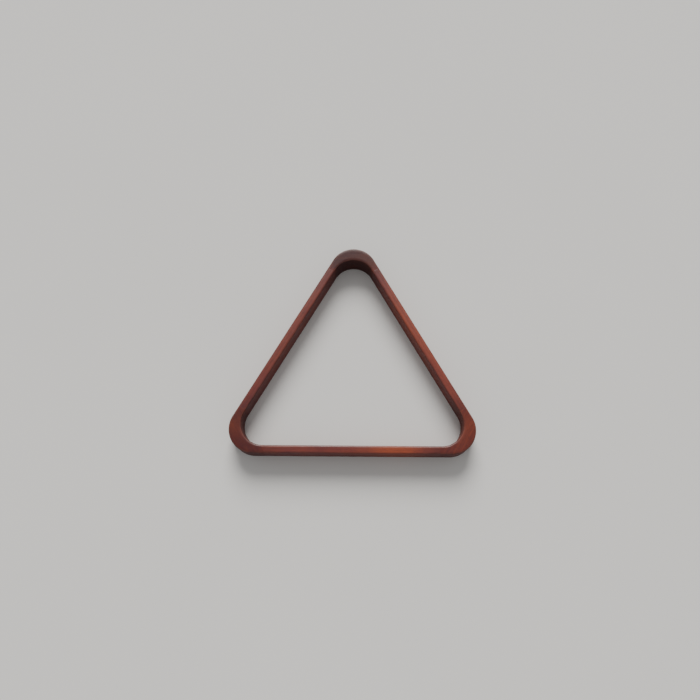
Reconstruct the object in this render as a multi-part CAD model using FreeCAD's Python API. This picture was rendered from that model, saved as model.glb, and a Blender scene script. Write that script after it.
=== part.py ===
"""Billiard triangle rack: three straight wooden rails doweled to three corner blocks.

Units are millimetres. The rack lies flat, as it does on the table: +Z is up, +X runs along
the base rail and +Y points to the apex. The origin is the centre of the rack's outer box,
on the face that it lies on.
"""
import FreeCAD, Part
import math
import os

# Driving dimensions ---------------------------------------------------------------------
BALL_DIAMETER = 57.15          # a standard American pool ball
BALLS_PER_SIDE = 5             # fifteen balls in five rows
RAIL_THICKNESS = 10.5          # seen from above
RAIL_HEIGHT = 32.0             # just over the height of a ball's centre
OUTER_CORNER_RADIUS = 32.0
ARRIS_RADIUS = 2.2             # rounding of the long edges
JOINT_DISTANCE = 52.0          # along a rail, from the inner sharp corner to its glued joint
DOWEL_DIAMETER = 5.0
DOWEL_LENGTH = 24.0
DOWEL_SPACING = 16.0           # between the two dowels of one joint
DOWEL_CHAMFER = 0.6
GLUE_CLEARANCE = 0.05          # round a dowel
GLUE_WELL = 1.0                # beyond each end of a dowel

# Sizes that follow ----------------------------------------------------------------------
CORNER_ANGLE = math.radians(60.0)
HALF_ANGLE = CORNER_ANGLE / 2
INNER_CORNER_RADIUS = BALL_DIAMETER / 2
INNER_SIDE = BALL_DIAMETER * (BALLS_PER_SIDE - 1 + math.sqrt(3.0))
INNER_REACH = INNER_SIDE / (2 * math.sqrt(3.0))        # middle of the rack to a rail's inside
OUTER_REACH = INNER_REACH + RAIL_THICKNESS
RAIL_LENGTH = INNER_SIDE - 2 * JOINT_DISTANCE
APEX_TIP = 2 * OUTER_REACH - OUTER_CORNER_RADIUS       # middle of the rack to the apex's end
MIDDLE_Y = (OUTER_REACH - APEX_TIP) / 2                # middle of the rack in the part's frame

UP = FreeCAD.Vector(0, 0, 1)
MIDDLE = FreeCAD.Vector(0, MIDDLE_Y, 0)
DOWEL_HEIGHTS = {
    "lower": (RAIL_HEIGHT - DOWEL_SPACING) / 2,
    "upper": (RAIL_HEIGHT + DOWEL_SPACING) / 2,
}

# Each corner is the apex block turned about the middle, and each rail is the base rail turned.
CORNER_TURNS = {"apex": 0.0, "left": 120.0, "right": -120.0}
RAIL_TURNS = {"base": 0.0, "right": 120.0, "left": -120.0}

# The rail that each corner meets on its two sides, seen from the middle of the rack.
CORNER_RAILS = {
    "apex": {"clockwise": "right", "anticlockwise": "left"},
    "left": {"clockwise": "left", "anticlockwise": "base"},
    "right": {"clockwise": "base", "anticlockwise": "right"},
}
SIDE_SIGNS = {"clockwise": 1, "anticlockwise": -1}


def placed(shape, turn):
    """Turn a shape about the middle of the rack and move it into the part's frame."""
    result = shape.copy()
    result.rotate(FreeCAD.Vector(), UP, turn)
    result.translate(MIDDLE)
    return result


def along(side_sign):
    """Direction of the rail that leaves the apex on one side, away from the apex."""
    return FreeCAD.Vector(side_sign * math.sin(HALF_ANGLE), -math.cos(HALF_ANGLE), 0)


def outward(side_sign):
    """Direction out of the rack, square to the rail on one side of the apex."""
    return FreeCAD.Vector(side_sign * math.cos(HALF_ANGLE), math.sin(HALF_ANGLE), 0)


def joint_point(side_sign, depth):
    """A point of the apex joint's end face, depth outwards from the rail's inside."""
    sharp_corner = FreeCAD.Vector(0, 2 * INNER_REACH, 0)
    return sharp_corner + along(side_sign) * JOINT_DISTANCE + outward(side_sign) * depth


def tangent_point(side_sign, reach, radius):
    """Where the round of an apex outline at this reach meets its straight side."""
    sharp_corner = FreeCAD.Vector(0, 2 * reach, 0)
    return sharp_corner + along(side_sign) * (radius / math.tan(HALF_ANGLE))


def round_through(reach, radius):
    """The apex round of an outline, from the right side over the tip to the left side."""
    start = tangent_point(1, reach, radius)
    tip = FreeCAD.Vector(0, 2 * reach - radius, 0)
    end = tangent_point(-1, reach, radius)
    return Part.Arc(start, tip, end).toShape()


def corner_outline():
    """Closed outline of the apex block, in the plane of the rack."""
    inner_right = joint_point(1, 0)
    inner_left = joint_point(-1, 0)
    outer_right = joint_point(1, RAIL_THICKNESS)
    outer_left = joint_point(-1, RAIL_THICKNESS)
    inner = (INNER_REACH, INNER_CORNER_RADIUS)
    outer = (OUTER_REACH, OUTER_CORNER_RADIUS)
    edges = [
        Part.makeLine(inner_right, tangent_point(1, *inner)),
        round_through(*inner),
        Part.makeLine(tangent_point(-1, *inner), inner_left),
        Part.makeLine(inner_left, outer_left),
        Part.makeLine(outer_left, tangent_point(-1, *outer)),
        round_through(*outer),
        Part.makeLine(tangent_point(1, *outer), outer_right),
        Part.makeLine(outer_right, inner_right),
    ]
    return Part.Wire(Part.__sortEdges__(edges))


def is_joint_edge(edge):
    """True for an edge that lies in one of the apex block's two joint faces."""
    for side_sign in SIDE_SIGNS.values():
        origin = joint_point(side_sign, 0)
        direction = along(side_sign)
        offsets = [(vertex.Point - origin).dot(direction) for vertex in edge.Vertexes]
        if all(abs(offset) < 0.01 for offset in offsets):
            return True
    return False


def is_level(edge):
    """True for an edge that stays at one height."""
    box = edge.BoundBox
    return box.ZLength < 0.01


def dowel_hole(mouth, direction):
    """A blind hole's cutter: half a dowel deep, with its glue well."""
    radius = DOWEL_DIAMETER / 2 + GLUE_CLEARANCE
    depth = DOWEL_LENGTH / 2 + GLUE_WELL
    return Part.makeCylinder(radius, depth, mouth, direction)


def joint_middle(side_sign, height):
    """Centre of one dowel, in the apex block's joint face."""
    return joint_point(side_sign, RAIL_THICKNESS / 2) + UP * height


def make_corner():
    """The apex block, round the middle of the rack, with its four dowel holes."""
    block = Part.Face(corner_outline()).extrude(UP * RAIL_HEIGHT)
    arrises = [edge for edge in block.Edges if is_level(edge) and not is_joint_edge(edge)]
    block = block.makeFillet(ARRIS_RADIUS, arrises)
    for side_sign in SIDE_SIGNS.values():
        for height in DOWEL_HEIGHTS.values():
            mouth = joint_middle(side_sign, height)
            block = block.cut(dowel_hole(mouth, along(side_sign) * -1))
    return block


def make_rail():
    """The base rail, round the middle of the rack, with two dowel holes in each end."""
    corner = FreeCAD.Vector(-RAIL_LENGTH / 2, -OUTER_REACH, 0)
    rail = Part.makeBox(RAIL_LENGTH, RAIL_THICKNESS, RAIL_HEIGHT, corner)
    arrises = [edge for edge in rail.Edges if edge.BoundBox.XLength > RAIL_LENGTH / 2]
    rail = rail.makeFillet(ARRIS_RADIUS, arrises)
    centre_y = -OUTER_REACH + RAIL_THICKNESS / 2
    for end_sign in (-1, 1):
        for height in DOWEL_HEIGHTS.values():
            mouth = FreeCAD.Vector(end_sign * RAIL_LENGTH / 2, centre_y, height)
            rail = rail.cut(dowel_hole(mouth, FreeCAD.Vector(-end_sign, 0, 0)))
    return rail


def make_dowel(side_sign, height):
    """A dowel across one apex joint, with chamfered ends."""
    direction = along(side_sign)
    start = joint_middle(side_sign, height) - direction * (DOWEL_LENGTH / 2)
    dowel = Part.makeCylinder(DOWEL_DIAMETER / 2, DOWEL_LENGTH, start, direction)
    rims = [edge for edge in dowel.Edges if edge.isClosed()]
    return dowel.makeChamfer(DOWEL_CHAMFER, rims)


def export(shape, node):
    """Write one sub-part's STEP file."""
    if not shape.isValid() or len(shape.Solids) != 1:
        raise ValueError(node + " is not one valid solid")
    shape.Solids[0].exportStep("parts/" + node + ".step")


def export_corner(name, turn):
    """Write one corner block and the dowels of its two joints."""
    export(placed(make_corner(), turn), name + "_corner")
    for side, rail_name in CORNER_RAILS[name].items():
        for level, height in DOWEL_HEIGHTS.items():
            node = f"{name}_corner_to_{rail_name}_rail_{level}_dowel"
            export(placed(make_dowel(SIDE_SIGNS[side], height), turn), node)


def main():
    os.makedirs("parts", exist_ok=True)
    for name, turn in RAIL_TURNS.items():
        export(placed(make_rail(), turn), name + "_rail")
    for name, turn in CORNER_TURNS.items():
        export_corner(name, turn)


main()
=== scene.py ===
"""Looks of a wooden pool-ball triangle: stained rails, corner blocks, dowels and a studio.

The file is laid out as an add-on and is run as a script. All sizes are in metres, in the
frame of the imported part: +Z up, +X along the base rail, +Y from the base rail to the apex.
"""

import math
from collections import namedtuple

import bmesh
import bpy
from bpy.props import FloatProperty, FloatVectorProperty, IntProperty, PointerProperty
from mathutils import Euler, Matrix, Vector, noise


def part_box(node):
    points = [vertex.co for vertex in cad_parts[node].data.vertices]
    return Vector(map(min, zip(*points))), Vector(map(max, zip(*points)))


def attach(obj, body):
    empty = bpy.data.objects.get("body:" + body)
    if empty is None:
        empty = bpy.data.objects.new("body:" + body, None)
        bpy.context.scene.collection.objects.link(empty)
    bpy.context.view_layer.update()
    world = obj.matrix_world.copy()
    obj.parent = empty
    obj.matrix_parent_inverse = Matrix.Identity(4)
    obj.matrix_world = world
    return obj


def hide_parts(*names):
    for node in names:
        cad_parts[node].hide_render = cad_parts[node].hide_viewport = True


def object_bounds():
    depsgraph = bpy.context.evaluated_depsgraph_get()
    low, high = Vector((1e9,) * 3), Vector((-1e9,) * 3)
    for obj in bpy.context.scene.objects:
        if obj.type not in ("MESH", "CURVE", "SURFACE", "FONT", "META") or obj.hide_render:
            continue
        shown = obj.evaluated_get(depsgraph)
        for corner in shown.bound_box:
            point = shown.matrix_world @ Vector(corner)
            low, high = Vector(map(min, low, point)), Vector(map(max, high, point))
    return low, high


bl_info = {
    "name": "Triangle Rack",
    "version": (1, 0, 0),
    "blender": (4, 5, 0),
    "location": "3D View > Sidebar > Triangle Rack",
    "description": "Builds the wood, the joints and the studio of a pool-ball triangle",
    "category": "Object",
}

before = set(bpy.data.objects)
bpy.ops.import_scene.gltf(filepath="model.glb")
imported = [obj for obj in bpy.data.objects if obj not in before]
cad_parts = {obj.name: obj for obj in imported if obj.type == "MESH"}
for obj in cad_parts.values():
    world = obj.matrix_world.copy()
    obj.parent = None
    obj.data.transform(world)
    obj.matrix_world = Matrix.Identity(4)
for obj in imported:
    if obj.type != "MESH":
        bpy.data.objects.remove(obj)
CAD_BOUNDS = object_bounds()

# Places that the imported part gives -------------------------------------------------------
BASE_LOW, BASE_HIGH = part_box("base_rail")
RAIL_HEIGHT = BASE_HIGH.z - BASE_LOW.z
RAIL_THICKNESS = BASE_HIGH.y - BASE_LOW.y
RAIL_LENGTH = BASE_HIGH.x - BASE_LOW.x

BALL_DIAMETER = 0.05715
BALLS_PER_SIDE = 5
HALF_ANGLE = math.radians(30)
INNER_CORNER_RADIUS = BALL_DIAMETER / 2
INNER_SIDE = BALL_DIAMETER * (BALLS_PER_SIDE - 1 + math.sqrt(3))
INNER_REACH = INNER_SIDE / (2 * math.sqrt(3))     # middle of the rack to a rail's inside
OUTER_REACH = INNER_REACH + RAIL_THICKNESS
JOINT_DISTANCE = (INNER_SIDE - RAIL_LENGTH) / 2   # inner sharp corner to a joint, on a rail
MIDDLE = Vector((0, BASE_LOW.y + OUTER_REACH, 0))
DOWEL_HEIGHTS = {"lower": RAIL_HEIGHT / 4, "upper": RAIL_HEIGHT * 3 / 4}

SIDES = {"clockwise": 1, "anticlockwise": -1}

HOLE_CLEARANCE = 0.00005      # round a dowel
GLUE_WELL = 0.001             # beyond each end of a dowel
DOWEL_CHAMFER = 0.0006
FLUTE_DEPTH = 0.0002
SIZE_SLACK = 0.0003           # most that a piece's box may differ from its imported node's
FLOOR_HALF = 8.0
FLOOR_GAP = 0.00005
KEY_TOWARDS = (-0.05, 1.2, 0.93)
KEY_COLOUR = (1.0, 0.98, 0.95)
SENSOR_WIDTH = 36             # millimetres
NEAR_CLIP = 0.01

# Knocks and sanding waves in the arrises: features a metre, and shares of the dent depth
KNOCK_SCALE = 95
KNOCK_LIMIT = 0.28            # noise above this is a knock
KNOCK_SHARE = 0.75
WAVE_SCALE = 22
WAVE_PLACE = Vector((4, 7, 1))
WAVE_SHARE = 0.35
DENT_SLOPE = 0.7              # of a dent's depth, how much goes sideways and how much down

# A board is one piece of wood. turn is about the middle of the rack, seed moves the grain to
# another place in the tree, and tone is how light the wood took the stain. The stain runs from
# warm_least to warm_most, which it reaches at warm_at and leaves within warm_span of there,
# both as a share of the board's half length. The cooler, more violet stretches are partly real
# stain and partly painted sheen of the light.
Board = namedtuple("Board", "name turn seed tone warm_least warm_most warm_at warm_span")
RAILS = (
    Board("base", 0.0, 1.7, 1.00, 0.20, 1.00, 0.50, 0.33),
    Board("right", 120.0, 5.3, 1.08, 0.30, 0.65, 0.05, 0.50),
    Board("left", -120.0, 9.1, 0.96, 0.26, 0.34, 0.00, 0.40),
)
CORNERS = (
    Board("apex", 0.0, 13.9, 0.41, 0.10, 0.40, 0.90, 0.40),
    Board("left", 120.0, 17.2, 0.60, 0.05, 0.30, 0.30, 0.60),
    Board("right", -120.0, 21.4, 0.77, 0.15, 0.55, -0.40, 0.60),
)
JOINT_TONE = 0.77             # all boards meet in this tone and warmth at their glued joints,
JOINT_WARMTH = 0.22           # since the stain was brushed on across them
JOINT_BLEND = 0.30            # as a share of the board's half length
WALL_PAINTED_SHADE = 0.20             # painted shade: how much darker the upright faces are coloured, and how much cooler, in place of the shade that falls on them
WALL_PAINTED_COOLING = 0.40           # and how much cooler
CORNER_RAILS = {
    "apex": {"clockwise": "right", "anticlockwise": "left"},
    "left": {"clockwise": "left", "anticlockwise": "base"},
    "right": {"clockwise": "base", "anticlockwise": "right"},
}

# One cross-section of a board: a point on its inner and outer wall, the way out of the wood
# at each, and how far its skin is drawn in.
Station = namedtuple("Station", "inner outer inner_out outer_out ease")


class RackSizes(bpy.types.PropertyGroup):
    """Sizes of the rack that its packed boxes don't give."""

    corner_radius: FloatProperty(
        name="Corner radius", description="Radius of the rack's outer corners",
        default=0.032, unit="LENGTH", precision=4)
    arris_radius: FloatProperty(
        name="Arris radius", description="Rounding of the long edges",
        default=0.0022, unit="LENGTH", precision=4)
    joint_ease: FloatProperty(
        name="Joint ease", description="Depth of the fine line at each glued joint",
        default=0.00007, unit="LENGTH", precision=5)
    dent_depth: FloatProperty(
        name="Dent depth", description="Deepest knock in the rounded edges",
        default=0.00028, unit="LENGTH", precision=5)
    station_gap: FloatProperty(
        name="Station gap", description="Distance between cross-sections along a board",
        default=0.0014, unit="LENGTH", precision=4)
    dowel_diameter: FloatProperty(
        name="Dowel diameter", description="Diameter of the hidden dowels",
        default=0.005, unit="LENGTH", precision=4)
    dowel_length: FloatProperty(
        name="Dowel length", description="Length of the hidden dowels",
        default=0.024, unit="LENGTH", precision=4)
    dowel_flutes: IntProperty(
        name="Dowel flutes", description="Glue grooves round each dowel", default=14)


class WoodColours(bpy.types.PropertyGroup):
    """Colours and finish of the wood."""

    # Partly real stain and partly painted sheen: its violet stands in for the sheen of the light.
    cool_stain_and_painted_sheen: FloatVectorProperty(
        name="Cool stain", description="Purple-brown of the darker stretches",
        subtype="COLOR", default=(0.115, 0.021, 0.021), min=0, max=1)
    warm_stain: FloatVectorProperty(
        name="Warm stain", description="Orange-brown of the warmer stretches",
        subtype="COLOR", default=(0.27, 0.050, 0.018), min=0, max=1)
    pore_stain: FloatVectorProperty(
        name="Pore stain", description="Dark brown that settles in the pores",
        subtype="COLOR", default=(0.028, 0.006, 0.004), min=0, max=1)
    rubbed_wood: FloatVectorProperty(
        name="Rubbed wood", description="Lighter wood where the edges are worn",
        subtype="COLOR", default=(0.30, 0.10, 0.06), min=0, max=1)
    beech: FloatVectorProperty(
        name="Beech", description="Bare wood of the dowels",
        subtype="COLOR", default=(0.55, 0.36, 0.20), min=0, max=1)
    lacquer: FloatProperty(
        name="Lacquer", description="Strength of the satin lacquer coat",
        subtype="FACTOR", default=0.12, min=0, max=1)
    arris_polish: FloatProperty(
        name="Arris polish", description="Extra gloss where hands have polished the edges",
        subtype="FACTOR", default=0.42, min=0, max=1)
    upright_dulling: FloatProperty(
        name="Upright dulling", description="Extra roughness of the upright faces",
        subtype="FACTOR", default=0.25, min=0, max=1)
    lacquer_roughness: FloatProperty(
        name="Lacquer roughness", description="Roughness of the lacquer coat",
        subtype="FACTOR", default=0.24, min=0, max=1)


class StudioSettings(bpy.types.PropertyGroup):
    """Camera, floor and light."""

    tilt: FloatProperty(
        name="Tilt", description="Camera's lean back from straight down",
        subtype="ANGLE", default=math.radians(16.465))
    lean: FloatProperty(
        name="Lean", description="Camera's lean to the side",
        subtype="ANGLE", default=math.radians(0.854))
    roll: FloatProperty(
        name="Roll", description="Camera's turn about the upright",
        subtype="ANGLE", default=math.radians(0.567))
    distance: FloatProperty(
        name="Distance", description="Camera to the point it looks at",
        default=0.8602, unit="LENGTH")
    aim: FloatVectorProperty(
        name="Aim", description="Point that the camera looks at, on the rack's upper face",
        subtype="TRANSLATION", default=(-0.00357, -0.00495, RAIL_HEIGHT), precision=4)
    lens: FloatProperty(
        name="Lens", description="Focal length in millimetres on a 36 mm sensor",
        default=33.43)
    floor_colour: FloatVectorProperty(
        name="Floor colour", description="Colour of the floor",
        subtype="COLOR", default=(0.80, 0.79, 0.77), min=0, max=1)
    key: FloatProperty(
        name="Key", description="Strength of the large soft light beyond the apex", default=3.5)
    key_spread: FloatProperty(
        name="Spread", description="How wide the key light looks from the rack",
        subtype="ANGLE", default=math.radians(34))
    sky: FloatProperty(
        name="Sky", description="Strength of the even light from all round", default=0.40)
    backdrop: FloatProperty(
        name="Backdrop", description="Brightness of the backdrop beyond the floor", default=0.97)


# Outlines --------------------------------------------------------------------------------

def along(side):
    """Direction of the rail that leaves the apex on one side, away from the apex."""
    return Vector((side * math.sin(HALF_ANGLE), -math.cos(HALF_ANGLE)))


def outward(side):
    """Direction out of the rack, square to the rail on one side of the apex."""
    return Vector((side * math.cos(HALF_ANGLE), math.sin(HALF_ANGLE)))


def corner_point(reach, radius, joint_run, share):
    """Point and outward direction on the apex outline, at a share of its length.

    The outline runs straight from the left joint, round the tip and straight to the right
    joint. joint_run is the length of each straight stretch.
    """
    turn = math.pi - 2 * HALF_ANGLE
    total = 2 * joint_run + radius * turn
    travel = share * total - total / 2
    side = 1 if travel >= 0 else -1
    reach_round = min(abs(travel), radius * turn / 2)
    straight = abs(travel) - reach_round
    angle = math.pi / 2 - side * reach_round / radius
    out = Vector((math.cos(angle), math.sin(angle)))
    centre = Vector((0, 2 * reach - 2 * radius))
    return centre + out * radius + along(side) * straight, out


def spaced(count):
    """Shares from 0 to 1, with count steps between them."""
    return [step / count for step in range(count + 1)]


def with_joint_ends(shares, run, ease):
    """Adds two shares close to each end, and gives each share the ease of its skin."""
    step = ease / run
    ends = {0.0: ease, step: ease * 0.25, 2.5 * step: 0.0}
    eased = [(share, value) for share, value in ends.items()]
    eased += [(share, 0.0) for share in shares if 3 * step < share < 1 - 3 * step]
    eased += [(1 - share, value) for share, value in ends.items()]
    return sorted(eased)


def rail_stations(sizes):
    """Cross-sections of the base rail, from its left end to its right end."""
    shares = spaced(round(RAIL_LENGTH / sizes.station_gap))
    stations = []
    for share, ease in with_joint_ends(shares, RAIL_LENGTH, sizes.joint_ease):
        x = (share - 0.5) * RAIL_LENGTH
        stations.append(Station(
            Vector((x, -INNER_REACH)), Vector((x, -OUTER_REACH)),
            Vector((0, 1)), Vector((0, -1)), ease))
    return stations


def corner_stations(sizes):
    """Cross-sections of the apex block, from its left joint to its right joint."""
    inner_run = JOINT_DISTANCE - INNER_CORNER_RADIUS / math.tan(HALF_ANGLE)
    outer_tangent = sizes.corner_radius / math.tan(HALF_ANGLE)
    outer_run = JOINT_DISTANCE + RAIL_THICKNESS / math.tan(HALF_ANGLE) - outer_tangent
    length = 2 * outer_run + sizes.corner_radius * (math.pi - 2 * HALF_ANGLE)
    shares = spaced(round(length / sizes.station_gap))
    stations = []
    for share, ease in with_joint_ends(shares, length, sizes.joint_ease):
        inner, inner_normal = corner_point(
            INNER_REACH, INNER_CORNER_RADIUS, inner_run, share)
        outer, outer_normal = corner_point(
            OUTER_REACH, sizes.corner_radius, outer_run, share)
        stations.append(Station(inner, outer, -inner_normal, outer_normal, ease))
    return stations


# Meshes ----------------------------------------------------------------------------------

WALL_STEPS = 9
ARRIS_STEPS = 6
FACE_STEPS = 5
HOLE_STEPS = 28
DOWEL_STEPS = 8               # to each side of a dowel's middle
FLUTE_STEPS = 6               # round each flute


def handled(bend):
    """How much hands touch an arris, at an angle from its upright side: most near the face."""
    return 1.5 * math.sin(2 * bend) * math.sin(bend) ** 2


def section_profile(height, arris):
    """Once round a section: share outwards, depth into the wood, height and arris weight."""
    wall = [arris + (height - 2 * arris) * step / WALL_STEPS for step in range(WALL_STEPS + 1)]
    bends = [math.pi / 2 * step / ARRIS_STEPS for step in range(1, ARRIS_STEPS + 1)]
    rounds = [(arris * (1 - math.cos(bend)), arris * (1 - math.sin(bend)), handled(bend))
              for bend in bends]
    shares = [step / FACE_STEPS for step in range(1, FACE_STEPS)]

    inner_up = [(0.0, 0.0, z, 0.0) for z in wall]
    inner_over = [(0.0, depth, height - drop, weight) for depth, drop, weight in rounds]
    across = [(share, arris, height, 0.0) for share in shares]
    outer_over = [(1.0, depth, height - drop, weight) for depth, drop, weight in rounds[::-1]]
    upper_half = inner_up + inner_over + across + outer_over
    lower_half = [(1.0 - share, depth, height - z, weight)
                  for share, depth, z, weight in upper_half]
    return upper_half + lower_half


def dent(place, deepest):
    """Depth of the knocks and sanding waves in an arris near one place."""
    knock = max(0.0, noise.noise(place * KNOCK_SCALE) - KNOCK_LIMIT) / (1 - KNOCK_LIMIT)
    wave = 0.5 + 0.5 * noise.noise(place * WAVE_SCALE + WAVE_PLACE)
    return deepest * (KNOCK_SHARE * knock + WAVE_SHARE * wave)


def section_points(station, profile, height, matrix, deepest):
    """The section's points at one station, with the knocks of the place where it stands."""
    points = []
    middle = height / 2
    for share, depth, z, weight in profile:
        near = station.inner.lerp(station.outer, share)
        knock = weight * dent(matrix @ Vector((near.x, near.y, z)), deepest)
        skin = station.ease + knock * DENT_SLOPE
        inner = station.inner - station.inner_out * (depth + skin)
        outer = station.outer - station.outer_out * (depth + skin)
        level = inner.lerp(outer, share)
        points.append(Vector((level.x, level.y, middle + (z - middle) * (1 - skin / middle))))
    return points


def hole_ring(bm, centre, across_wood, radius):
    """A ring of vertices for the mouth of one dowel hole."""
    ring = []
    for step in range(HOLE_STEPS):
        angle = 2 * math.pi * step / HOLE_STEPS
        shift = across_wood * math.cos(angle) + Vector((0, 0, math.sin(angle)))
        ring.append(bm.verts.new(centre + shift * radius))
    return ring


def ring_edges(bm, ring):
    """The closed run of edges through a ring of vertices."""
    pairs = zip(ring, ring[1:] + ring[:1])
    return [bm.edges.get(pair) or bm.edges.new(pair) for pair in pairs]


def close_end(bm, section, station, into_wood, sizes):
    """Closes one end of a board with a flat face that has its two dowel holes."""
    inner = Vector((*station.inner, 0))
    outer = Vector((*station.outer, 0))
    across_wood = (outer - inner).normalized()
    radius = sizes.dowel_diameter / 2 + HOLE_CLEARANCE
    depth = into_wood * (sizes.dowel_length / 2 + GLUE_WELL)
    edges = ring_edges(bm, section)
    mouths = []
    for height in DOWEL_HEIGHTS.values():
        centre = (inner + outer) / 2 + Vector((0, 0, height))
        ring = hole_ring(bm, centre, across_wood, radius)
        edges += ring_edges(bm, ring)
        mouths.append(ring)
    bmesh.ops.triangle_fill(bm, edges=edges, use_beauty=True, normal=into_wood)
    for ring in mouths:
        floor_ring = [bm.verts.new(vertex.co + depth) for vertex in ring]
        for step in range(len(ring)):
            following = (step + 1) % len(ring)
            bm.faces.new((ring[step], ring[following], floor_ring[following], floor_ring[step]))
        bm.faces.new(floor_ring)
    for edge in edges:
        edge.smooth = False


def finished_mesh(name, bm, matrix):
    """Moves a piece from its own frame to the rack's frame, and makes its mesh.

    Its own frame stays with it as an attribute, because the grain runs along that frame's X.
    """
    grain_layer = bm.verts.layers.float_vector.new("grain_place")
    for vertex in bm.verts:
        vertex[grain_layer] = vertex.co
        vertex.co = matrix @ vertex.co
    bmesh.ops.recalc_face_normals(bm, faces=bm.faces)
    mesh = bpy.data.meshes.new(name)
    bm.to_mesh(mesh)
    bm.free()
    return mesh


def stain_at(board, travel):
    """A board's tone and warmth at one place, from -1 at its first end to 1 at its last."""
    peak = math.exp(-((travel - board.warm_at) / board.warm_span) ** 2)
    warmth = board.warm_least + (board.warm_most - board.warm_least) * peak
    share = min(1.0, (1 - abs(travel)) / JOINT_BLEND)
    share = share * share * (3 - 2 * share)
    tone = JOINT_TONE + (board.tone - JOINT_TONE) * share
    return tone, JOINT_WARMTH + (warmth - JOINT_WARMTH) * share


def board_mesh(name, stations, into_wood, board, matrix, sizes):
    """One board: its skin through all stations, and its two drilled ends."""
    profile = section_profile(RAIL_HEIGHT, sizes.arris_radius)
    bm = bmesh.new()
    arris_layer = bm.verts.layers.float.new("arris")
    warmth_and_painted_shade_layer = bm.verts.layers.float.new("warmth")
    seed_layer = bm.verts.layers.float.new("seed")
    tone_and_painted_shade_layer = bm.verts.layers.float.new("tone")
    upright_layer = bm.verts.layers.float.new("upright")
    rows = []
    for index, station in enumerate(stations):
        tone, warmth = stain_at(board, 2 * index / (len(stations) - 1) - 1)
        points = section_points(station, profile, RAIL_HEIGHT, matrix, sizes.dent_depth)
        row = [bm.verts.new(point) for point in points]
        for vertex, (_, depth, _, weight) in zip(row, profile):
            upright = 1 - depth / sizes.arris_radius
            vertex[arris_layer] = weight
            vertex[upright_layer] = upright
            # Painted shade: the upright faces get a darker, cooler colour in place of the shade
            # that falls on them.
            vertex[warmth_and_painted_shade_layer] = warmth * (1 - WALL_PAINTED_COOLING * upright)
            vertex[tone_and_painted_shade_layer] = tone * (1 - WALL_PAINTED_SHADE * upright)
        rows.append(row)
    for row, following in zip(rows, rows[1:]):
        for step in range(len(row)):
            beside = (step + 1) % len(row)
            face = bm.faces.new((row[step], row[beside], following[beside], following[step]))
            face.smooth = True
    close_end(bm, rows[0], stations[0], into_wood[0], sizes)
    close_end(bm, rows[-1], stations[-1], into_wood[1], sizes)
    for vertex in bm.verts:
        vertex[seed_layer] = board.seed
    return finished_mesh(name, bm, matrix)


def dowel_mesh(name, matrix, sizes):
    """A fluted dowel, along X in its own frame, chamfered at both ends."""
    radius = sizes.dowel_diameter / 2
    half = sizes.dowel_length / 2
    around = sizes.dowel_flutes * FLUTE_STEPS
    ends = [(half, radius - DOWEL_CHAMFER), (half - DOWEL_CHAMFER, radius)]
    lengths = [(-x, r) for x, r in ends]
    inner_half = half - 2 * DOWEL_CHAMFER
    steps = range(-DOWEL_STEPS, DOWEL_STEPS + 1)
    lengths += [(inner_half * step / DOWEL_STEPS, radius) for step in steps]
    lengths += ends[::-1]
    bm = bmesh.new()
    rows = []
    for x, reach in lengths:
        row = []
        for step in range(around):
            angle = 2 * math.pi * step / around
            groove = max(0.0, math.cos(sizes.dowel_flutes * angle)) ** 2
            depth = FLUTE_DEPTH * groove if abs(x) <= inner_half else 0.0
            spoke = reach - depth
            row.append(bm.verts.new((x, spoke * math.cos(angle), spoke * math.sin(angle))))
        rows.append(row)
    for row, following in zip(rows, rows[1:]):
        for step in range(around):
            beside = (step + 1) % around
            face = bm.faces.new((row[step], row[beside], following[beside], following[step]))
            face.smooth = True
    bm.faces.new(rows[0])
    bm.faces.new(rows[-1])
    return finished_mesh(name, bm, matrix)


# Materials -------------------------------------------------------------------------------

def add_node(tree, kind, label, **settings):
    """A node with a label, and with its properties set by name."""
    node = tree.nodes.new(kind)
    node.label = label
    for name, value in settings.items():
        setattr(node, name, value)
    return node


def feed(tree, socket, source):
    """Sets an input to a number, a vector or a colour, or links it to an output."""
    if isinstance(source, bpy.types.NodeSocket):
        tree.links.new(source, socket)
    elif source is not None:
        socket.default_value = source


def calculate(tree, operation, first, second=None, third=None, label="", clamp=False):
    """A Math node's result."""
    node = add_node(tree, "ShaderNodeMath", label, operation=operation, use_clamp=clamp)
    for socket, source in zip(node.inputs, (first, second, third)):
        feed(tree, socket, source)
    return node.outputs[0]


def reshape(tree, value, low, high, new_low, new_high, label=""):
    """A value moved smoothly from one range to another."""
    node = add_node(tree, "ShaderNodeMapRange", label, interpolation_type="SMOOTHSTEP")
    for socket, source in zip(node.inputs, (value, low, high, new_low, new_high)):
        feed(tree, socket, source)
    return node.outputs["Result"]


def active(sockets, name):
    """The socket of this name that the node's data type uses."""
    return next(socket for socket in sockets if socket.name == name and socket.enabled)


def blend_colours(tree, share, first, second, label="", mode="MIX"):
    """One colour laid over another."""
    node = add_node(tree, "ShaderNodeMix", label, data_type="RGBA", blend_type=mode)
    feed(tree, active(node.inputs, "Factor"), share)
    feed(tree, active(node.inputs, "A"), first)
    feed(tree, active(node.inputs, "B"), second)
    return active(node.outputs, "Result")


def stretched_noise(tree, vector, stretch, detail, label):
    """Noise at so many features a metre along, across and up the wood."""
    scaled = add_node(tree, "ShaderNodeVectorMath", label, operation="MULTIPLY")
    feed(tree, scaled.inputs[0], vector)
    feed(tree, scaled.inputs[1], stretch)
    texture = add_node(tree, "ShaderNodeTexNoise", label)
    texture.inputs["Scale"].default_value = 1.0
    texture.inputs["Detail"].default_value = detail
    texture.inputs["Roughness"].default_value = 0.55
    feed(tree, texture.inputs["Vector"], scaled.outputs[0])
    return texture.outputs["Fac"]


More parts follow.
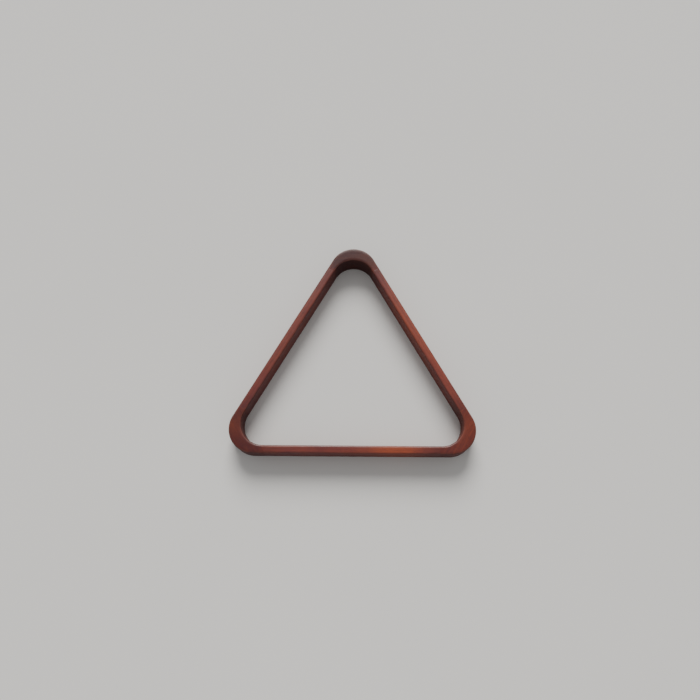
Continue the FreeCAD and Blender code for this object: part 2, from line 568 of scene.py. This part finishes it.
def new_group(name, inputs, outputs):
    """An empty shader node group with named sockets, and its two end nodes."""
    tree = bpy.data.node_groups.new(name, "ShaderNodeTree")
    for socket_name, socket_type, default in inputs:
        socket = tree.interface.new_socket(socket_name, in_out="INPUT", socket_type=socket_type)
        if default is not None:
            socket.default_value = default
    for socket_name, socket_type in outputs:
        tree.interface.new_socket(socket_name, in_out="OUTPUT", socket_type=socket_type)
    start = tree.nodes.new("NodeGroupInput")
    end = tree.nodes.new("NodeGroupOutput")
    return tree, start.outputs, end.inputs


def grain_group():
    """Grain of a stained board: growth rings, streaks, fibres and pores, all along X."""
    tree, given, result = new_group(
        "Grain",
        [("Place", "NodeSocketVector", None), ("Seed", "NodeSocketFloat", 0.0),
         ("Ring Width", "NodeSocketFloat", 0.003), ("Ring Warp", "NodeSocketFloat", 1.6)],
        [("Rings", "NodeSocketFloat"), ("Streaks", "NodeSocketFloat"),
         ("Fibres", "NodeSocketFloat"), ("Pores", "NodeSocketFloat"),
         ("Height", "NodeSocketFloat")])
    shift = add_node(tree, "ShaderNodeVectorMath", "Another place in the tree",
                     operation="SCALE")
    shift.inputs[0].default_value = (0.37, 0.11, 0.23)
    feed(tree, shift.inputs["Scale"], given["Seed"])
    moved = add_node(tree, "ShaderNodeVectorMath", "Moved", operation="ADD")
    feed(tree, moved.inputs[0], given["Place"])
    feed(tree, moved.inputs[1], shift.outputs[0])
    place = moved.outputs[0]

    warp = stretched_noise(tree, place, (7, 30, 30), 2.0, "Slow warp")
    parts = add_node(tree, "ShaderNodeSeparateXYZ", "Parts")
    feed(tree, parts.inputs[0], given["Place"])
    slanted = calculate(tree, "MULTIPLY_ADD", parts.outputs["Z"], 0.55, parts.outputs["Y"],
                        label="Rings lean with height")
    counted = calculate(tree, "DIVIDE", slanted, given["Ring Width"], label="Rings counted")
    pushed = calculate(tree, "MULTIPLY_ADD", warp, given["Ring Warp"], counted, label="Warped")
    phase = calculate(tree, "MULTIPLY", pushed, 2 * math.pi)
    wave = calculate(tree, "SINE", phase)
    rings = reshape(tree, wave, -1.0, 1.0, 0.0, 1.0, "Rings")

    streaks = stretched_noise(tree, place, (16, 260, 260), 3.0, "Streaks")
    fibres = stretched_noise(tree, place, (55, 1500, 1500), 3.0, "Fibres")
    pore_noise = stretched_noise(tree, place, (190, 3100, 3100), 1.0, "Pores")
    pores = reshape(tree, pore_noise, 0.60, 0.70, 0.0, 1.0, "Open pores")
    sunk = calculate(tree, "MULTIPLY_ADD", pores, -0.8, fibres, label="Height")

    for name, value in (("Rings", rings), ("Streaks", streaks), ("Fibres", fibres),
                        ("Pores", pores), ("Height", sunk)):
        feed(tree, result[name], value)
    return tree


def rubbed_edge_group():
    """Mask of the stain that hands and the cloth have worn from the arrises."""
    tree, given, result = new_group(
        "Rubbed Edge",
        [("Place", "NodeSocketVector", None), ("Arris", "NodeSocketFloat", 0.0),
         ("Amount", "NodeSocketFloat", 0.5)],
        [("Mask", "NodeSocketFloat")])
    patches = stretched_noise(tree, given["Place"], (70, 70, 70), 4.0, "Rubbed patches")
    reach = calculate(tree, "ADD", given["Arris"], patches, label="Arris and patches")
    limit = calculate(tree, "SUBTRACT", 1.75, given["Amount"], label="Where wear begins")
    full = calculate(tree, "ADD", limit, 0.35, label="Where wear is full")
    feed(tree, result["Mask"], reshape(tree, reach, limit, full, 0.0, 1.0, "Worn"))
    return tree


def handling_group():
    """Cloudy and scratched stretches of a lacquer that has been handled."""
    tree, given, result = new_group(
        "Handling",
        [("Place", "NodeSocketVector", None)],
        [("Cloud", "NodeSocketFloat"), ("Scratches", "NodeSocketFloat")])
    cloud = stretched_noise(tree, given["Place"], (38, 60, 60), 3.0, "Cloud")
    fine = stretched_noise(tree, given["Place"], (45, 2200, 900), 2.0, "Fine rubbing")
    feed(tree, result["Cloud"], cloud)
    feed(tree, result["Scratches"], reshape(tree, fine, 0.62, 0.74, 0.0, 1.0, "Scratches"))
    return tree


def attribute(tree, name, kind="Fac"):
    """A number or a place that a piece's mesh carries at each vertex."""
    node = add_node(tree, "ShaderNodeAttribute", name, attribute_name=name)
    return node.outputs[kind]


def place_group(tree, group, **inputs):
    """A shared group in a material, with its inputs set by name, spaces as underscores."""
    node = add_node(tree, "ShaderNodeGroup", group.name, node_tree=group)
    for name, value in inputs.items():
        feed(tree, node.inputs[name.replace("_", " ")], value)
    return node.outputs


def opaque(colour):
    """A colour with its alpha."""
    return (*colour, 1.0)


def new_material(name):
    """A material with only its Principled shader and its output."""
    material = bpy.data.materials.new(name)
    material.use_nodes = True
    tree = material.node_tree
    return material, tree, tree.nodes["Principled BSDF"]


def stained_wood(name, groups, colours, ring_width, ring_depth, rubbed, gloss):
    """Red-brown stained hardwood under satin lacquer.

    ring_depth is how dark the growth rings are, rubbed is how worn the arrises are, and gloss
    is how strongly the wood reflects.
    """
    material, tree, shader = new_material(name)
    place = attribute(tree, "grain_place", "Vector")
    grain = place_group(tree, groups["grain"], Place=place, Seed=attribute(tree, "seed"),
                        Ring_Width=ring_width)
    handling = place_group(tree, groups["handling"], Place=place)
    worn = place_group(tree, groups["rubbed"], Place=place, Arris=attribute(tree, "arris"),
                       Amount=rubbed)

    drift = calculate(tree, "MULTIPLY_ADD", grain["Streaks"], 0.8, -0.8, label="Streaky drift")
    drift = calculate(tree, "MULTIPLY_ADD", handling["Cloud"], 0.8, drift, label="Blotches")
    # The warmth and tone attributes carry the painted shade of the upright faces: darker, cooler
    # colour there.
    warmth = calculate(tree, "ADD", attribute(tree, "warmth"), drift, label="Warmth", clamp=True)
    # The violet of the cool stain is partly painted sheen of the light.
    stain = blend_colours(tree, warmth, opaque(colours.cool_stain_and_painted_sheen), opaque(colours.warm_stain),
                          "Stain")
    shade = calculate(tree, "MULTIPLY_ADD", grain["Rings"], -ring_depth, 0.91, label="Rings")
    shade = calculate(tree, "MULTIPLY_ADD", grain["Fibres"], 0.34, shade, label="Fibres")
    shade = calculate(tree, "MULTIPLY", shade, attribute(tree, "tone"), label="Tone")
    toned = blend_colours(tree, 1.0, stain, shade, "Toned", "MULTIPLY")
    pores = calculate(tree, "MULTIPLY", grain["Pores"], 0.65, label="Stain in the pores")
    filled = blend_colours(tree, pores, toned, opaque(colours.pore_stain), "Pores")
    rub = calculate(tree, "MULTIPLY", worn["Mask"], 0.30, label="Rubbed through")
    surface = blend_colours(tree, rub, filled, opaque(colours.rubbed_wood), "Rubbed edges")
    feed(tree, shader.inputs["Base Color"], surface)

    sheen = calculate(tree, "MULTIPLY_ADD", handling["Cloud"], 0.22, 0.30, label="Sheen")
    sheen = calculate(tree, "MULTIPLY_ADD", handling["Scratches"], 0.10, sheen, label="Scratched")
    upright = attribute(tree, "upright")
    sheen = calculate(tree, "MULTIPLY_ADD", upright, colours.upright_dulling, sheen,
                      label="Duller upright faces")
    feed(tree, shader.inputs["Roughness"], sheen)

    bump = add_node(tree, "ShaderNodeBump", "Grain under the lacquer")
    bump.inputs["Strength"].default_value = 0.35
    bump.inputs["Distance"].default_value = 0.00012
    feed(tree, bump.inputs["Height"], grain["Height"])
    feed(tree, shader.inputs["Normal"], bump.outputs["Normal"])
    coat = calculate(tree, "MULTIPLY_ADD", upright, -colours.lacquer, colours.lacquer,
                     label="Coat on the level faces")
    coat = calculate(tree, "MULTIPLY_ADD", attribute(tree, "arris"), colours.arris_polish, coat,
                     label="Polished arrises", clamp=True)
    feed(tree, shader.inputs["Coat Weight"], coat)
    shader.inputs["Coat Roughness"].default_value = colours.lacquer_roughness
    shader.inputs["Specular IOR Level"].default_value = gloss
    return material


def bare_beech(groups, colours):
    """Pale dowel wood with fine flecks and no finish."""
    material, tree, shader = new_material("beech_dowel")
    place = attribute(tree, "grain_place", "Vector")
    grain = place_group(tree, groups["grain"], Place=place, Seed=3.0, Ring_Width=0.002)
    shade = calculate(tree, "MULTIPLY_ADD", grain["Rings"], -0.12, 0.95, label="Rings")
    shade = calculate(tree, "MULTIPLY_ADD", grain["Pores"], -0.30, shade, label="Flecks")
    colour = blend_colours(tree, 1.0, opaque(colours.beech), shade, "Beech", "MULTIPLY")
    feed(tree, shader.inputs["Base Color"], colour)
    rough = calculate(tree, "MULTIPLY_ADD", grain["Fibres"], 0.2, 0.6, label="Roughness")
    feed(tree, shader.inputs["Roughness"], rough)
    bump = add_node(tree, "ShaderNodeBump", "Sawn fibres")
    bump.inputs["Strength"].default_value = 0.4
    bump.inputs["Distance"].default_value = 0.0001
    feed(tree, bump.inputs["Height"], grain["Height"])
    feed(tree, shader.inputs["Normal"], bump.outputs["Normal"])
    return material


def pale_floor(colour):
    """Plain matt floor."""
    material, tree, shader = new_material("pale_floor")
    coordinates = add_node(tree, "ShaderNodeTexCoord", "Over the floor")
    cloud = stretched_noise(tree, coordinates.outputs["Object"], (3, 3, 3), 2.0, "Cloud")
    share = reshape(tree, cloud, 0.3, 0.7, 0.0, 0.03, "Faint unevenness")
    feed(tree, shader.inputs["Base Color"],
         blend_colours(tree, share, opaque(colour), (0.4, 0.4, 0.4, 1.0), "Floor"))
    shader.inputs["Roughness"].default_value = 0.85
    shader.inputs["Specular IOR Level"].default_value = 0.2
    return material


def shared(name, make):
    """A node group or a material that is made once and then found again by name."""
    for library in (bpy.data.node_groups, bpy.data.materials):
        if name in library:
            return library[name]
    made = make()
    made.name = name
    return made


def shared_groups():
    """The node groups that the materials share."""
    return {
        "grain": shared("Grain", grain_group),
        "rubbed": shared("Rubbed Edge", rubbed_edge_group),
        "handling": shared("Handling", handling_group),
    }


# Pieces ----------------------------------------------------------------------------------

def place_piece(name, mesh, material, node):
    """Adds one piece to the rack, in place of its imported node."""
    mesh.materials.append(material)
    piece = bpy.data.objects.new(name, mesh)
    bpy.context.scene.collection.objects.link(piece)
    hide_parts(node)
    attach(piece, "root")
    check_size(piece, node)
    return piece


def check_size(piece, node):
    """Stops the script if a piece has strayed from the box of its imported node."""
    low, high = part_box(node)
    corners = [vertex.co for vertex in piece.data.vertices]
    for axis in range(3):
        least = min(corner[axis] for corner in corners)
        most = max(corner[axis] for corner in corners)
        if abs(least - low[axis]) > SIZE_SLACK or abs(most - high[axis]) > SIZE_SLACK:
            raise ValueError(f"{piece.name} doesn't fit {node}: {least}, {most}, {low}, {high}")


def turned(turn):
    """From a piece's own frame, round the middle of the rack, to the rack's frame."""
    return Matrix.Translation(MIDDLE) @ Matrix.Rotation(math.radians(turn), 4, "Z")


class RACK_OT_rails(bpy.types.Operator):
    """Build the three straight rails"""

    bl_idname = "rack.rails"
    bl_label = "Rails"

    def execute(self, context):
        sizes = context.scene.rack_sizes
        wood = shared("lacquered_rail", lambda: stained_wood(
            "lacquered_rail", shared_groups(), context.scene.rack_colours,
            ring_width=0.0042, ring_depth=0.10, rubbed=0.55, gloss=0.38))
        ends = (Vector((1, 0, 0)), Vector((-1, 0, 0)))
        for board in RAILS:
            matrix = turned(board.turn)
            name = board.name + "_rail_wood"
            mesh = board_mesh(name, rail_stations(sizes), ends, board, matrix, sizes)
            place_piece(name, mesh, wood, board.name + "_rail")
        return {"FINISHED"}


class RACK_OT_corners(bpy.types.Operator):
    """Build the three corner blocks"""

    bl_idname = "rack.corners"
    bl_label = "Corner blocks"

    def execute(self, context):
        sizes = context.scene.rack_sizes
        wood = shared("lacquered_corner", lambda: stained_wood(
            "lacquered_corner", shared_groups(), context.scene.rack_colours,
            ring_width=0.0055, ring_depth=0.05, rubbed=0.60, gloss=0.29))
        ends = [Vector((*-along(side), 0)) for side in (-1, 1)]
        for board in CORNERS:
            matrix = turned(board.turn)
            name = board.name + "_corner_wood"
            mesh = board_mesh(name, corner_stations(sizes), ends, board, matrix, sizes)
            place_piece(name, mesh, wood, board.name + "_corner")
        return {"FINISHED"}


class RACK_OT_dowels(bpy.types.Operator):
    """Build the hidden dowels of the six joints"""

    bl_idname = "rack.dowels"
    bl_label = "Dowels"

    def execute(self, context):
        sizes = context.scene.rack_sizes
        wood = shared("beech_dowel", lambda: bare_beech(
            shared_groups(), context.scene.rack_colours))
        sharp_corner = Vector((0, 2 * INNER_REACH))
        for board in CORNERS:
            for side_name, rail_name in CORNER_RAILS[board.name].items():
                side = SIDES[side_name]
                centre = sharp_corner + along(side) * JOINT_DISTANCE
                centre += outward(side) * RAIL_THICKNESS / 2
                heading = Matrix.Rotation(math.atan2(along(side).y, along(side).x), 4, "Z")
                for level, height in DOWEL_HEIGHTS.items():
                    joint = f"{board.name}_corner_to_{rail_name}_rail_{level}_dowel"
                    name = joint + "_fluted"
                    spot = Matrix.Translation((centre.x, centre.y, height))
                    matrix = turned(board.turn) @ spot @ heading
                    mesh = dowel_mesh(name, matrix, sizes)
                    place_piece(name, mesh, wood, joint)
        return {"FINISHED"}


# Studio ----------------------------------------------------------------------------------

def floor_mesh(half):
    """A plain square floor."""
    bm = bmesh.new()
    bmesh.ops.create_grid(bm, x_segments=8, y_segments=8, size=half)
    mesh = bpy.data.meshes.new("floor")
    bm.to_mesh(mesh)
    bm.free()
    return mesh


def add_key(studio):
    """The large soft light beyond the apex."""
    light = bpy.data.lights.new("key", "SUN")
    light.angle = studio.key_spread
    light.energy = studio.key
    light.color = KEY_COLOUR
    lamp = bpy.data.objects.new("key", light)
    lamp.location = KEY_TOWARDS
    lamp.rotation_euler = Vector(KEY_TOWARDS).to_track_quat("Z", "Y").to_euler()
    bpy.context.scene.collection.objects.link(lamp)


def even_light(studio):
    """Even white light from all round, and a backdrop as pale as the lit floor."""
    world = bpy.data.worlds.new("even_light")
    world.use_nodes = True
    tree = world.node_tree
    light = tree.nodes["Background"]
    light.inputs["Color"].default_value = (1, 1, 1, 1)
    light.inputs["Strength"].default_value = studio.sky
    backdrop = add_node(tree, "ShaderNodeBackground", "Backdrop")
    backdrop.inputs["Color"].default_value = opaque(studio.floor_colour)
    backdrop.inputs["Strength"].default_value = studio.backdrop
    path = add_node(tree, "ShaderNodeLightPath", "Seen by the camera")
    choice = add_node(tree, "ShaderNodeMixShader", "Light or backdrop")
    feed(tree, choice.inputs[0], path.outputs["Is Camera Ray"])
    feed(tree, choice.inputs[1], light.outputs[0])
    feed(tree, choice.inputs[2], backdrop.outputs[0])
    feed(tree, tree.nodes["World Output"].inputs["Surface"], choice.outputs[0])
    return world


def add_camera(studio):
    """The camera, looking down over the base rail."""
    turn = Euler((studio.tilt, studio.lean, studio.roll), "XYZ")
    back = turn.to_matrix() @ Vector((0, 0, 1))
    camera = bpy.data.cameras.new("camera")
    camera.sensor_width = SENSOR_WIDTH
    camera.lens = studio.lens
    camera.clip_start = NEAR_CLIP
    viewer = bpy.data.objects.new("camera", camera)
    viewer.location = Vector(studio.aim) + back * studio.distance
    viewer.rotation_euler = turn
    bpy.context.scene.collection.objects.link(viewer)
    bpy.context.scene.camera = viewer


class RACK_OT_studio(bpy.types.Operator):
    """Build the floor, the light and the camera"""

    bl_idname = "rack.studio"
    bl_label = "Studio"

    def execute(self, context):
        studio = context.scene.rack_studio
        mesh = floor_mesh(FLOOR_HALF)
        mesh.materials.append(shared("pale_floor", lambda: pale_floor(studio.floor_colour)))
        floor = bpy.data.objects.new("floor", mesh)
        floor.location.z = CAD_BOUNDS[0][2] - FLOOR_GAP
        context.scene.collection.objects.link(floor)
        add_key(studio)
        context.scene.world = even_light(studio)
        add_camera(studio)
        return {"FINISHED"}


class RACK_PT_panel(bpy.types.Panel):
    """Sidebar panel that builds the rack and shows its sizes and colours"""

    bl_idname = "RACK_PT_panel"
    bl_label = "Triangle Rack"
    bl_space_type = "VIEW_3D"
    bl_region_type = "UI"
    bl_category = "Triangle Rack"

    def draw(self, context):
        scene = context.scene
        for operator in OPERATORS:
            self.layout.operator(operator.bl_idname)
        for settings in (scene.rack_sizes, scene.rack_colours, scene.rack_studio):
            column = self.layout.column()
            for name in settings.__annotations__:
                column.prop(settings, name)


OPERATORS = (RACK_OT_rails, RACK_OT_corners, RACK_OT_dowels, RACK_OT_studio)
CLASSES = (RackSizes, WoodColours, StudioSettings) + OPERATORS + (RACK_PT_panel,)


def register():
    for each in CLASSES:
        bpy.utils.register_class(each)
    bpy.types.Scene.rack_sizes = PointerProperty(type=RackSizes)
    bpy.types.Scene.rack_colours = PointerProperty(type=WoodColours)
    bpy.types.Scene.rack_studio = PointerProperty(type=StudioSettings)


def unregister():
    del bpy.types.Scene.rack_studio
    del bpy.types.Scene.rack_colours
    del bpy.types.Scene.rack_sizes
    for each in reversed(CLASSES):
        bpy.utils.unregister_class(each)


def main():
    register()
    bpy.ops.rack.rails()
    bpy.ops.rack.corners()
    bpy.ops.rack.dowels()
    bpy.ops.rack.studio()


if __name__ == "__main__":
    main()
